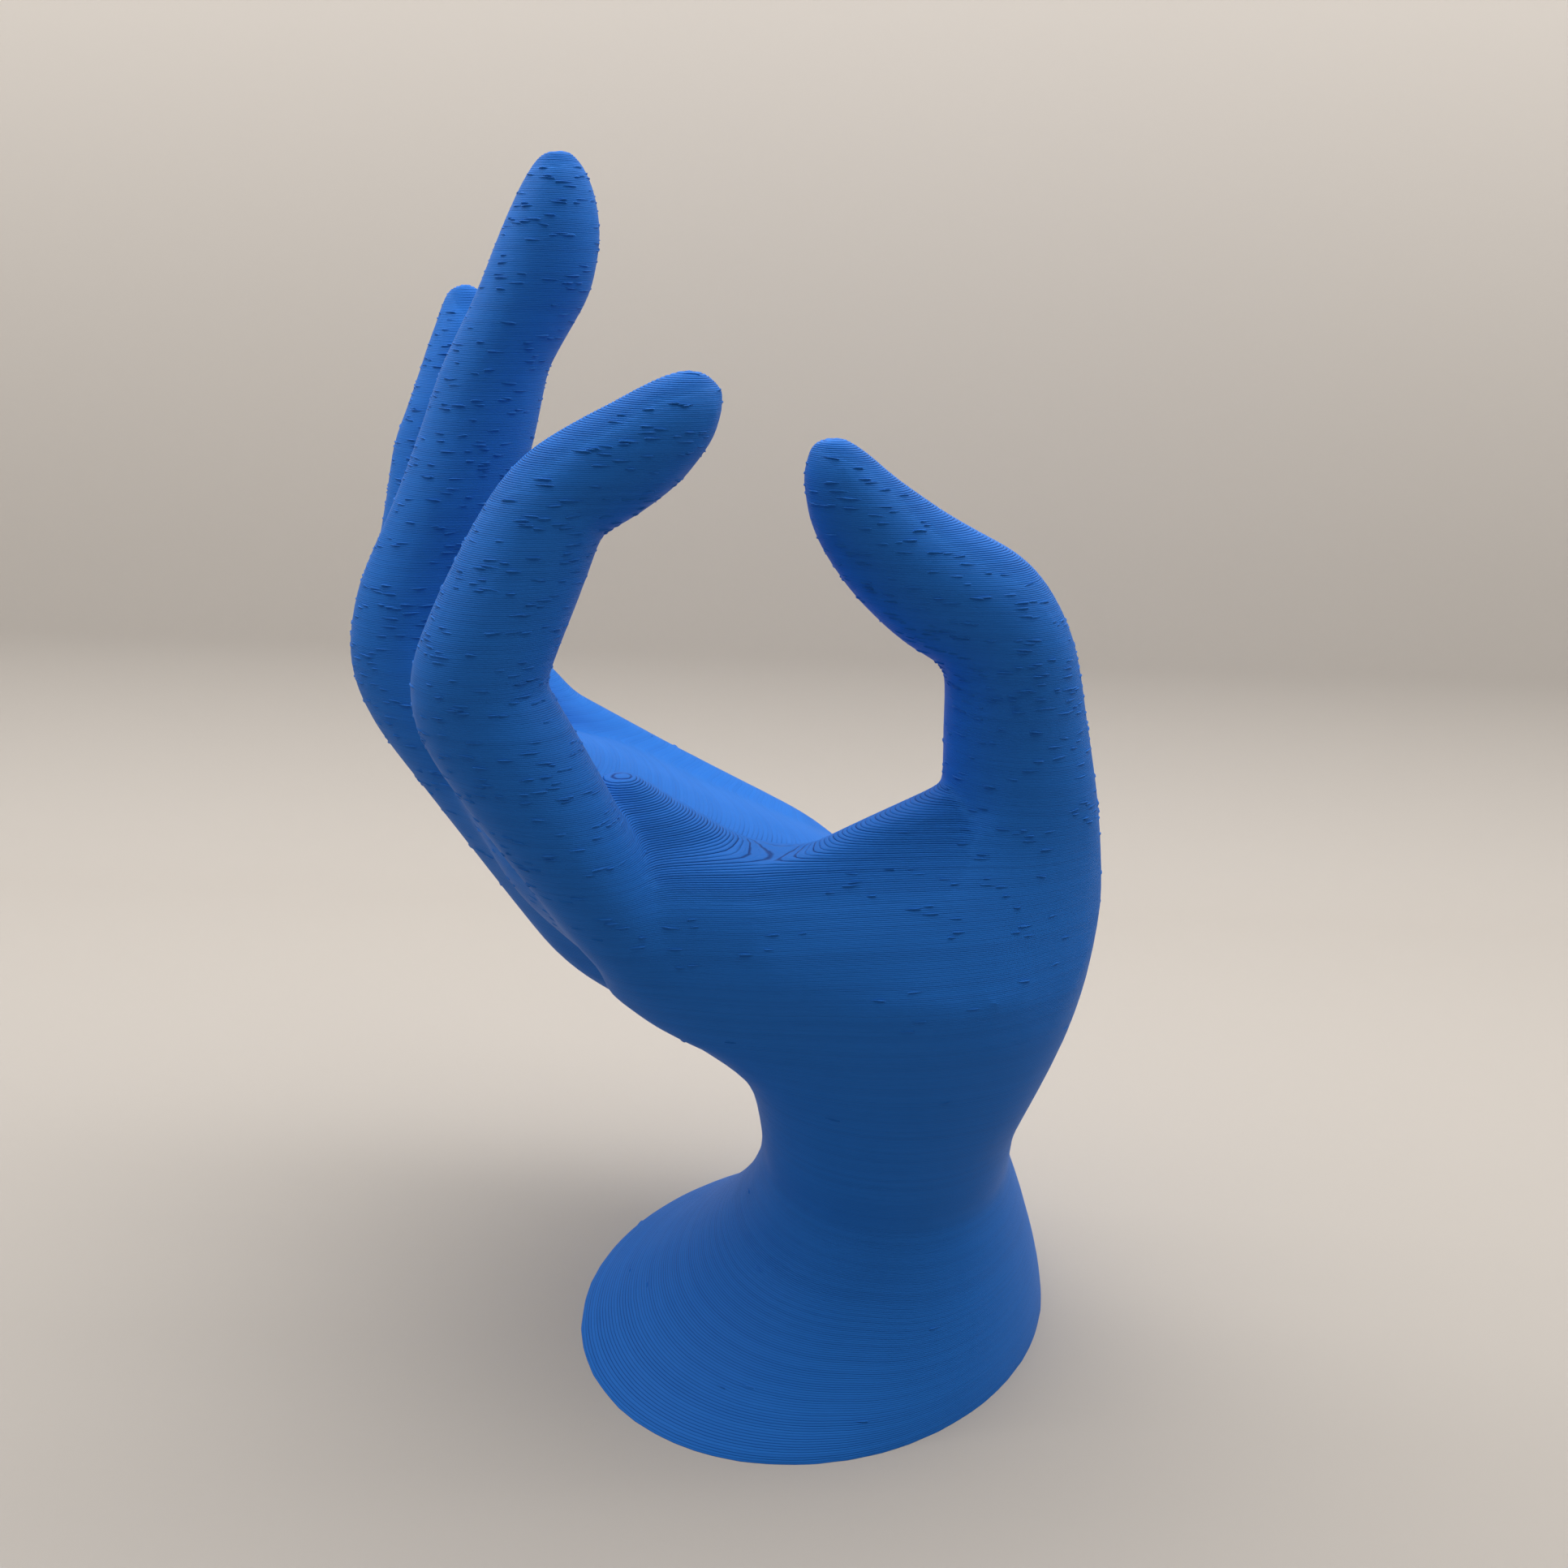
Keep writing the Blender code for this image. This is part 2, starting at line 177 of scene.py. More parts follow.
class LayerSettings(PropertyGroup):
    """Sizes of the printed layers."""

    height: FloatProperty(
        name="Layer height",
        description="Height of one printed layer",
        default=0.238 * MM,
        min=0.1 * MM,
        max=1.0 * MM,
        precision=6,
        unit="LENGTH",
    )
    riser: FloatProperty(
        name="Step face",
        description="Share of a layer's height on the model that a step's upright face takes",
        default=0.42,
        min=0.05,
        max=0.9,
        subtype="FACTOR",
    )
    flatness: FloatProperty(
        name="Step flatness",
        description="How much a step shows: 0 for none, 1 for a level top, more for a dipped top",
        default=0.8,
        min=0.0,
        max=1.6,
    )
    step_starts: FloatProperty(
        name="Steps start",
        description="Upward part of the surface normal at which the layers start to show as steps",
        default=0.42,
        min=0.1,
        max=0.95,
        subtype="FACTOR",
    )
    step_full: FloatProperty(
        name="Steps full",
        description="Upward part of the surface normal from which the steps have their full height",
        default=0.70,
        min=0.15,
        max=1.0,
        subtype="FACTOR",
    )
    lowest_step: FloatProperty(
        name="Lowest step",
        description="Height above the floor below which the layers are too fine to show as steps",
        default=58.0 * MM,
        min=0.0,
        max=175.0 * MM,
        unit="LENGTH",
    )
    ridge_depth: FloatProperty(
        name="Ridge depth",
        description="Depth of the grooves between the layers on the upright walls",
        default=0.045 * MM,
        min=0.0,
        max=0.2 * MM,
        precision=6,
        unit="LENGTH",
    )
    bowl_softness: FloatProperty(
        name="Softer bowl",
        description="How much fainter the steps are in the bowl of the palm",
        default=1.0,
        min=0.0,
        max=1.0,
        subtype="FACTOR",
    )
    smooth_rounds: IntProperty(
        name="Smoothing rounds",
        description="How many times each triangle of the skin is split in four and smoothed",
        default=1,
        min=0,
        max=2,
    )


class MarkSettings(PropertyGroup):
    """Sizes of the small seam marks that each layer's start leaves on the skin."""

    count: IntProperty(
        name="Marks",
        description="How many seam marks the skin carries",
        default=2900,
        min=0,
        max=4000,
    )
    length: FloatProperty(
        name="Mark length",
        description="Usual length of a mark",
        default=2.5 * MM,
        min=0.5 * MM,
        max=6.0 * MM,
        precision=5,
        unit="LENGTH",
    )
    width: FloatProperty(
        name="Mark height",
        description="Usual height of a mark, from its lower to its upper edge",
        default=0.42 * MM,
        min=0.1 * MM,
        max=2.0 * MM,
        precision=5,
        unit="LENGTH",
    )
    proud: FloatProperty(
        name="Mark thickness",
        description="How far a mark stands out of the skin",
        default=0.27 * MM,
        min=0.02 * MM,
        max=1.0 * MM,
        precision=5,
        unit="LENGTH",
    )
    lowest: FloatProperty(
        name="Lowest mark",
        description="Height above the floor below which there are hardly any marks",
        default=62.0 * MM,
        min=0.0,
        max=175.0 * MM,
        unit="LENGTH",
    )
    seed: IntProperty(
        name="Seed",
        description="Picks another scatter of marks",
        default=7,
        min=0,
        max=999,
    )


class PlasticSettings(PropertyGroup):
    """Colour and gloss of the blue plastic."""

    colour: FloatVectorProperty(
        name="Plastic",
        description="Colour of the plastic",
        default=(0.017, 0.155, 0.575),
        min=0.0,
        max=1.0,
        size=3,
        subtype="COLOR",
    )
    # The darker colour: painted shade in the grooves between the layers and under the seam marks, and also
    # the random tone of each layer and of the cloudiness.
    shade_and_tone_colour: FloatVectorProperty(
        name="Shade and tone",
        description="Darker tone of the grooves between the layers",
        default=(0.002, 0.040, 0.21),
        min=0.0,
        max=1.0,
        size=3,
        subtype="COLOR",
    )
    roughness: FloatProperty(
        name="Roughness",
        description="How matt the plastic is",
        default=0.52,
        min=0.0,
        max=1.0,
        subtype="FACTOR",
    )


class StageSettings(PropertyGroup):
    """Colour of the paper sweep and strength of the lights."""

    paper_colour: FloatVectorProperty(
        name="Paper",
        description="Colour of the paper that the stand is on",
        default=(0.445, 0.42, 0.395),
        min=0.0,
        max=1.0,
        size=3,
        subtype="COLOR",
    )
    top_power: FloatProperty(
        name="Overhead light",
        description="Power of the wide light above the stand, in watts",
        default=4.5,
        min=0.0,
        max=200.0,
    )
    front_power: FloatProperty(
        name="Front light",
        description="Power of the weak light from the front left, in watts",
        default=0.4,
        min=0.0,
        max=200.0,
    )
    wall_power: FloatProperty(
        name="Wall light",
        description="Power of the long light that brightens the upright part of the paper, in watts",
        default=2.5,
        min=0.0,
        max=200.0,
    )
    tent_strength: FloatProperty(
        name="Tent light",
        description="Strength of the even light from all around",
        default=0.27,
        min=0.0,
        max=10.0,
    )


def weld(rows, places):
    """Merges rows that agree in their first three columns to the given number of decimal places."""
    rounded = np.round(rows[:, :3], places)
    _, first, where = np.unique(rounded, axis=0, return_index=True, return_inverse=True)
    return rows[first], where.reshape(-1)


def node_surface(node):
    """Points and triangles of a CAD node, with the loose corners of its triangles merged."""
    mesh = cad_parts[node].data
    corners = np.empty(len(mesh.vertices) * 3)
    mesh.vertices.foreach_get("co", corners)
    mesh.calc_loop_triangles()
    triangles = np.empty(len(mesh.loop_triangles) * 3, dtype=np.int64)
    mesh.loop_triangles.foreach_get("vertices", triangles)
    points, where = weld(corners.reshape(-1, 3), SAME_CORNER)
    return points, drop_slivers(where[triangles].reshape(-1, 3))


def drop_slivers(triangles):
    """Leaves out triangles with two corners in one place."""
    a, b, c = triangles.T
    return triangles[(a != b) & (b != c) & (c != a)]


def open_underside(points, triangles):
    """Leaves out the triangles that lie on the floor, so that the rim of the foot is an open edge."""
    on_floor = points[:, 2] < FLOOR_TOUCH
    kept = triangles[~on_floor[triangles].all(axis=1)]
    used, renumbered = np.unique(kept, return_inverse=True)
    return points[used], renumbered.reshape(-1, 3)


def number_edges(triangles):
    """Numbers the edges: the two ends of every edge, and every triangle's three edge numbers."""
    ends = np.sort(triangles[:, [0, 1, 1, 2, 2, 0]].reshape(-1, 2), axis=1)
    edges, where = np.unique(ends, axis=0, return_inverse=True)
    return edges, where.reshape(-1, 3)


def smooth_split(points, triangles):
    """Splits each triangle in four and smooths it, after Loop.

    A new point on an inner edge is 3/8 of each end and 1/8 of each of the two corners across it.
    An old inner point with n neighbours keeps 1 - n*b of its place and takes b of each neighbour,
    with b = 3/(8n), or 3/16 where n is 3. On an open rim the new points are midpoints, and an old
    point keeps 3/4 of its place and takes 1/8 of each of its two neighbours along the rim.
    """
    edges, of_triangle = number_edges(triangles)
    shared = np.bincount(of_triangle.ravel(), minlength=len(edges))
    across = np.zeros((len(edges), 3))
    np.add.at(across, of_triangle.ravel(), points[triangles[:, [2, 0, 1]].ravel()])
    ends = points[edges[:, 0]] + points[edges[:, 1]]
    inner = (shared == 2)[:, None]
    on_edges = np.where(inner, 0.375 * ends + 0.125 * across, 0.5 * ends)

    rim = edges[shared == 1]
    rim_sum = np.zeros_like(points)
    np.add.at(rim_sum, rim[:, 0], points[rim[:, 1]])
    np.add.at(rim_sum, rim[:, 1], points[rim[:, 0]])
    on_rim = np.zeros(len(points), dtype=bool)
    on_rim[rim.ravel()] = True

    neighbours = np.bincount(edges.ravel(), minlength=len(points))[:, None]
    total = np.zeros_like(points)
    np.add.at(total, edges[:, 0], points[edges[:, 1]])
    np.add.at(total, edges[:, 1], points[edges[:, 0]])
    share = np.where(neighbours == 3, 3.0 / 16.0, 3.0 / (8.0 * neighbours))
    moved = points * (1.0 - neighbours * share) + total * share
    moved[on_rim] = 0.75 * points[on_rim] + 0.125 * rim_sum[on_rim]

    a, b, c = triangles.T
    ab, bc, ca = (of_triangle + len(points)).T
    parts = [(a, ab, ca), (ab, b, bc), (ca, bc, c), (ab, bc, ca)]
    smaller = np.concatenate([np.stack(part, axis=1) for part in parts])
    return np.concatenate([moved, on_edges]), smaller


def unit(vectors):
    """Scales each vector to length 1."""
    return vectors / np.maximum(np.linalg.norm(vectors, axis=1, keepdims=True), 1.0e-12)


def point_normals(points, triangles):
    """Outward normal at each point: the sum of the normals of its triangles, each weighed by its area."""
    a, b, c = (points[triangles[:, i]] for i in range(3))
    faces = np.cross(b - a, c - a)
    normals = np.zeros_like(points)
    for i in range(3):
        np.add.at(normals, triangles[:, i], faces)
    return unit(normals)


def ease(values, low, high):
    """Rises smoothly from 0 at low to 1 at high: 3x^2 - 2x^3, with x the share of the way."""
    x = np.clip((values - low) / (high - low), 0.0, 1.0)
    return x * x * (3.0 - 2.0 * x)


def in_bowl(points):
    """Rises from 0 in front of the palm's crest to 1 in the bowl behind it, and is 0 below and above it."""
    x, y, z = points.T
    behind = ease(y, *(start * MM + BOWL_SLANT * x for start in BOWL_FRONT))
    above = ease(z, *(limit * MM for limit in BOWL_LOWER_END))
    below = 1.0 - ease(z, *(limit * MM for limit in BOWL_UPPER_END))
    return behind * above * below


def band_of(levels, half_riser):
    """Numbers the bands that levels fall in: even for the top of a step, odd for its upright face."""
    nearest = np.floor(levels + 0.5)
    off = levels - nearest
    return (2 * nearest + (off >= -half_riser) + (off >= half_riser)).astype(np.int64)


def band_limits(bands, half_riser):
    """Lower and upper limit of each band, in layers."""
    whole = bands // 2
    upright = bands % 2 == 1
    low = np.where(upright, whole - half_riser, whole - 1 + half_riser)
    high = np.where(upright, whole + half_riser, whole - half_riser)
    return low, high


def repeat_bands(first, last):
    """Lists the bands from first to last of every row: the row each belongs to, and the band."""
    counts = last - first + 1
    rows = np.repeat(np.arange(len(first)), counts)
    starts = np.repeat(np.cumsum(counts) - counts, counts)
    return rows, first[rows] + np.arange(len(rows)) - starts


def edge_points(rows, lower, upper, levels):
    """Points at the given levels on the edges from lower to upper, with all columns shared out in line."""
    low, high = rows[lower], rows[upper]
    rise = high[:, 3] - low[:, 3]
    share = np.clip((levels - low[:, 3]) / np.where(rise > 0, rise, 1.0), 0.0, 1.0)[:, None]
    return low + (high - low) * share


def cut_in_bands(rows, triangles, half_riser):
    """Cuts triangles along the level lines that bound the bands.

    The corners are sorted by level. The part of a triangle in one band has a left side on the edge from
    the lowest corner to the highest, and a right side on the two other edges, with the middle corner
    between them, so it is a ring of five points. Three triangles fill it, and those without area are left
    out later.
    """
    levels = rows[triangles, 3]
    order = np.argsort(levels, axis=1, kind="stable")
    low, mid, high = np.take_along_axis(triangles, order, axis=1).T
    turned = (order[:, 1] - order[:, 0]) % 3 == 1
    owner, bands = repeat_bands(band_of(rows[low, 3], half_riser), band_of(rows[high, 3], half_riser))
    low, mid, high, turned = low[owner], mid[owner], high[owner], turned[owner]
    below, above = band_limits(bands, half_riser)
    below = np.clip(below, rows[low, 3], rows[high, 3])
    above = np.clip(above, rows[low, 3], rows[high, 3])
    middle = rows[mid, 3]

    def right_side(level):
        under = edge_points(rows, low, mid, level)
        over = edge_points(rows, mid, high, level)
        return np.where((level < middle)[:, None], under, over)

    ring = [
        edge_points(rows, low, high, below),
        right_side(below),
        right_side(np.clip(middle, below, above)),
        right_side(above),
        edge_points(rows, low, high, above),
    ]
    count = len(owner)
    numbers = np.arange(5 * count).reshape(5, count)
    fans = [numbers[[0, 1, 2]].T, numbers[[0, 2, 3]].T, numbers[[0, 3, 4]].T]
    faces = np.concatenate([np.where(turned[:, None], fan, fan[:, ::-1]) for fan in fans])
    return np.concatenate(ring), faces


def fan_beside_cuts(rows, triangles, cut_edges, half_riser):
    """Fills triangles beside the cut ones with fans that share the new points on the cut edges."""
    start = triangles.ravel()
    end = np.roll(triangles, -1, axis=1).ravel()
    rising = rows[end, 3] > rows[start, 3]
    lower, upper = np.where(rising, start, end), np.where(rising, end, start)
    first = band_of(rows[lower, 3], half_riser)
    last = np.where(cut_edges.ravel(), band_of(rows[upper, 3], half_riser), first)
    owner, bands = repeat_bands(first, last)
    below, above = band_limits(bands, half_riser)
    whole = ~cut_edges.ravel()[owner]
    below = np.where(whole, -np.inf, below)
    above = np.where(whole, np.inf, above)
    lower, upper, rising = lower[owner], upper[owner], rising[owner]
    under = edge_points(rows, lower, upper, np.clip(below, rows[lower, 3], rows[upper, 3]))
    over = edge_points(rows, lower, upper, np.clip(above, rows[lower, 3], rows[upper, 3]))
    middle = rows[triangles].mean(axis=1)[owner // 3]
    count = len(owner)
    numbers = np.arange(3 * count).reshape(3, count).T
    faces = np.where(rising[:, None], numbers[:, [0, 1, 2]], numbers[:, [0, 2, 1]])
    return np.concatenate([middle, under, over]), faces


def step_heights(levels, half_riser, flatness):
    """Level of the printed surface over the smooth one: flat on a step, and rising evenly on its face."""
    nearest = np.floor(levels + 0.5)
    rise = np.clip((levels - nearest + half_riser) / (2.0 * half_riser), 0.0, 1.0)
    stepped = nearest - 0.5 + rise
    return levels + flatness * (stepped - levels)


def layered_surface(points, triangles, settings):
    """Raises real steps where the surface is shallow enough to show the layers as terraces.

    Each row is a point's place, its level in layers, how far the steps show there, and how much it faces
    up. Triangles that reach into the shallow part are cut along the level lines, then each point moves up
    or down from its own level to that of the step it is on.
    """
    up = point_normals(points, triangles)[:, 2]
    above_foot = ease(points[:, 2], settings.lowest_step, FULL_STEPS_ABOVE * settings.lowest_step)
    plainness = 1.0 - settings.bowl_softness * in_bowl(points)
    amount = ease(up, settings.step_starts, settings.step_full) * above_foot * plainness
    levels = points[:, 2] / settings.height - 0.5
    rows = np.column_stack([points, levels, amount, ease(up, 0.0, settings.step_full) * plainness])
    stepped = (amount[triangles] > 0.0).any(axis=1)
    half_riser = 0.5 * settings.riser

    edges, of_triangle = number_edges(triangles)
    cut = np.zeros(len(edges), dtype=bool)
    cut[of_triangle[stepped].ravel()] = True
    crossed = band_of(rows[edges[:, 0], 3], half_riser) != band_of(rows[edges[:, 1], 3], half_riser)
    cut &= crossed
    beside = ~stepped & cut[of_triangle].any(axis=1)
    plain = ~stepped & ~beside

    cut_rows, cut_faces = cut_in_bands(rows, triangles[stepped], half_riser)
    fan_rows, fan_faces = fan_beside_cuts(rows, triangles[beside], cut[of_triangle[beside]], half_riser)
    everything = np.concatenate([rows, cut_rows, fan_rows])
    faces = np.concatenate([
        triangles[plain],
        cut_faces + len(rows),
        fan_faces + len(rows) + len(cut_rows),
    ])
    merged, where = weld(everything, SAME_CUT)
    faces = drop_slivers(where[faces])
    used, faces = np.unique(faces, return_inverse=True)
    merged = merged[used]
    moved = step_heights(merged[:, 3], half_riser, settings.flatness) - merged[:, 3]
    merged[:, 2] += moved * settings.height * merged[:, 4]
    values = {"level": merged[:, 3], "steps": merged[:, 4], "upward": merged[:, 5]}
    return merged[:, :3], faces.reshape(-1, 3), values


def close_underside(points, triangles):
    """Closes the rim of the foot with a fan of triangles round its middle, which is the last point."""
    directed = triangles[:, [0, 1, 1, 2, 2, 0]].reshape(-1, 2)
    ends = np.sort(directed, axis=1)
    _, where, counts = np.unique(ends, axis=0, return_index=True, return_counts=True)
    rim = directed[where[counts == 1]]
    middle = points[np.unique(rim)].mean(axis=0)
    middle[2] = 0.0
    cap = np.column_stack([rim[:, 1], rim[:, 0], np.full(len(rim), len(points))])
    return np.vstack([points, middle]), np.vstack([triangles, cap])


def new_mesh_object(name, points, triangles):
    """Puts points and triangles in a new object at the origin, with smooth shading."""
    mesh = bpy.data.meshes.new(name)
    mesh.vertices.add(len(points))
    mesh.vertices.foreach_set("co", np.asarray(points, dtype=np.float32).ravel())
    mesh.loops.add(triangles.size)
    mesh.loops.foreach_set("vertex_index", triangles.astype(np.int32).ravel())
    mesh.polygons.add(len(triangles))
    mesh.polygons.foreach_set("loop_start", np.arange(0, triangles.size, 3, dtype=np.int32))
    mesh.polygons.foreach_set("use_smooth", np.ones(len(triangles), dtype=bool))
    mesh.update()
    mesh.validate()
    obj = bpy.data.objects.new(name, mesh)
    bpy.context.scene.collection.objects.link(obj)
    return obj


def add_point_values(obj, values):
    """Keeps named numbers for each point, for the material to read."""
    for name, numbers in values.items():
        attribute = obj.data.attributes.new(name, "FLOAT", "POINT")
        attribute.data.foreach_set("value", np.asarray(numbers, dtype=np.float32).ravel())


def nearness(points, place):
    """Falls from 1 near a place on the skin to 0 away from it."""
    start, end, full, reach = (np.array(value) * MM for value in place)
    along = end - start
    share = np.clip((points - start) @ along / (along @ along), 0.0, 1.0)[:, None]
    return 1.0 - ease(np.linalg.norm(points - start - share * along, axis=1), full, reach)


def even_out(points, triangles, place, rounds):
    """Evens out one place: in each round a point moves part of the way to the middle of its neighbours.

    That part is half of how near the point is to the place.
    """
    edges, _ = number_edges(triangles)
    ends = np.concatenate([edges, edges[:, ::-1]])
    neighbours = np.bincount(ends[:, 0], minlength=len(points))[:, None]
    part = 0.5 * nearness(points, place)[:, None]
    for _ in range(rounds):
        total = [np.bincount(ends[:, 0], points[ends[:, 1], axis], len(points)) for axis in range(3)]
        points = points + part * (np.stack(total, axis=1) / neighbours - points)
    return points


def smooth_skin():
    """The CAD hand with its underside open, smoothed as often as the settings say and evened out."""
    points, triangles = open_underside(*node_surface(NODE))
    for _ in range(bpy.context.scene.hand_layers.smooth_rounds):
        points, triangles = smooth_split(points, triangles)
    for place, rounds in EVENED_OUT:
        points = even_out(points, triangles, place, rounds)
    return points, triangles


def pick_places(points, triangles, normals, settings):
    """Random places on the skin: many on the fingers and the thumb, few on the palm, hardly any lower down.

    The chance of a triangle is its area times a weight that rises with height and falls where it faces up.
    The place in it is (1 - sqrt(r), sqrt(r)(1 - s), sqrt(r) s) of its three corners, with r and s even
    between 0 and 1.
    """
    rng = np.random.default_rng(settings.seed)
    a, b, c = (points[triangles[:, i]] for i in range(3))
    area = 0.5 * np.linalg.norm(np.cross(b - a, c - a), axis=1)
    height = (a + b + c)[:, 2] / 3.0
    top = CAD_HIGH.z
    up = normals[triangles][:, :, 2].mean(axis=1)
    high_up = ease(height, settings.lowest, settings.lowest + DENSITY_RISE * top)
    chance = area * (LEAST_DENSITY + high_up * (1.0 - ease(up, *DENSITY_UPWARD)))
    chosen = rng.choice(len(triangles), size=settings.count, p=chance / chance.sum())
    root = np.sqrt(rng.random(settings.count))
    split = rng.random(settings.count)
    shares = np.column_stack([1.0 - root, root * (1.0 - split), root * split])
    corners = triangles[chosen]
    place = np.einsum("ij,ijk->ik", shares, points[corners])
    normal = unit(np.einsum("ij,ijk->ik", shares, normals[corners]))
    return rng, corners, place, normal


def grid_triangles(rows, columns):
    """Two triangles for every square of a grid whose points are numbered row by row."""
    numbers = np.arange(rows * columns).reshape(rows, columns)
    squares = [numbers[:-1, :-1], numbers[1:, :-1], numbers[1:, 1:], numbers[:-1, 1:]]
    squares = np.stack(squares, axis=-1).reshape(-1, 4)
    return np.concatenate([squares[:, [0, 1, 2]], squares[:, [0, 2, 3]]])


def curving_along(points, normals, corners, direction):
    """How fast the surface bends away along a direction: the turn of the normal for each metre along it."""
    first = points[corners[:, 1]] - points[corners[:, 0]]
    second = points[corners[:, 2]] - points[corners[:, 0]]
    turn_first = normals[corners[:, 1]] - normals[corners[:, 0]]
    turn_second = normals[corners[:, 2]] - normals[corners[:, 0]]
    ff, fs, ss = (first * first).sum(1), (first * second).sum(1), (second * second).sum(1)
    df, ds = (first * direction).sum(1), (second * direction).sum(1)
    det = np.maximum(ff * ss - fs * fs, 1.0e-20)
    p = (df * ss - ds * fs) / det
    q = (ds * ff - df * fs) / det
    return ((p[:, None] * turn_first + q[:, None] * turn_second) * direction).sum(1)


def seam_mark_mesh(points, triangles, settings):
    """Small level ridges with a blunt head and a thin tail, whose rims are sunk in the skin.

    With u from -1 at the tail to 1 at the head, v from 0 to 1 across, and the outline
    w = sqrt(1 - u^2)(body + head u), a point lies u half lengths along the level direction, w cos(pi v)
    half widths up, and w sin(pi v) bulge - sunk thicknesses out of the skin. It is bent back with the
    skin by half the bend times the square of the distance along.
    """
    normals = point_normals(points, triangles)
    rng, corners, place, normal = pick_places(points, triangles, normals, settings)
    count = settings.count
    along = unit(np.cross((0.0, 0.0, 1.0), normal))
    along *= rng.choice([-1.0, 1.0], size=count)[:, None]
    upward = np.cross(normal, along) * np.where(np.cross(normal, along)[:, 2] < 0.0, -1.0, 1.0)[:, None]
    tilt = rng.normal(0.0, MARK_TILT, count)[:, None]
    along, upward = unit(along + upward * tilt), unit(upward - along * tilt)
    bend = np.clip(curving_along(points, normals, corners, along), -SHARPEST_BEND, SHARPEST_BEND)
    half_length = 0.5 * settings.length * rng.uniform(*LENGTH_SPREAD, count)
    half_width = 0.5 * settings.width * rng.uniform(*WIDTH_SPREAD, count)
    proud = settings.proud * rng.uniform(*PROUD_SPREAD, count)

    u = np.linspace(-1.0, 1.0, MARK_ROWS)[None, :, None]
    v = np.linspace(0.0, 1.0, MARK_COLUMNS)[None, None, :]
    outline = np.sqrt(np.maximum(1.0 - u * u, 0.0)) * (MARK_BODY + MARK_HEAD * u)
    out = (np.sin(np.pi * v) * outline * MARK_BULGE - MARK_SUNK) * proud[:, None, None]
    up = np.cos(np.pi * v) * outline * half_width[:, None, None]
    run = np.broadcast_to(u * half_length[:, None, None], up.shape)
    out = out - 0.5 * bend[:, None, None] * run * run
    grid = (
        place[:, None, None, :]
        + run[..., None] * along[:, None, None, :]
        + up[..., None] * upward[:, None, None, :]
        + out[..., None] * normal[:, None, None, :]
    )
    one_mark = grid_triangles(MARK_ROWS, MARK_COLUMNS)
    faces = one_mark[None] + (np.arange(count) * MARK_ROWS * MARK_COLUMNS)[:, None, None]
    flip = np.einsum("ij,ij->i", np.cross(along, upward), normal) > 0.0
    faces = np.where(flip[:, None, None], faces[..., ::-1], faces)
    # Painted shadow: the darker colour over the lower half of each mark, rising from its middle to its
    # lower edge.
    shade = np.broadcast_to(MARK_SHADE * ease(v, 0.5, 1.0), grid.shape[:3])
    return grid.reshape(-1, 3), faces.reshape(-1, 3), shade.reshape(-1)


def keep_in_box(points):
    """Holds every point inside the box of the CAD solid."""
    return np.clip(points, np.array(CAD_LOW), np.array(CAD_HIGH))


def new_group(name, inputs, outputs):
    """A shader node group with named sockets: its tree, and the two nodes that hold them."""
    tree = bpy.data.node_groups.new(name, "ShaderNodeTree")
    for label, kind, default in inputs:
        socket = tree.interface.new_socket(name=label, in_out="INPUT", socket_type=kind)
        if default is not None:
            socket.default_value = default
    for label, kind in outputs:
        tree.interface.new_socket(name=label, in_out="OUTPUT", socket_type=kind)
    return tree, tree.nodes.new("NodeGroupInput"), tree.nodes.new("NodeGroupOutput")


def math_node(tree, operation, first, second=None, clamp=False):
    """Adds a Math node; each input is a socket to link or a number to set. Gives its output."""
    node = tree.nodes.new("ShaderNodeMath")
    node.operation = operation
    node.use_clamp = clamp
    for socket, value in zip(node.inputs, (first, second)):
        if isinstance(value, bpy.types.NodeSocket):
            tree.links.new(value, socket)
        elif value is not None:
            socket.default_value = value
    return node.outputs[0]


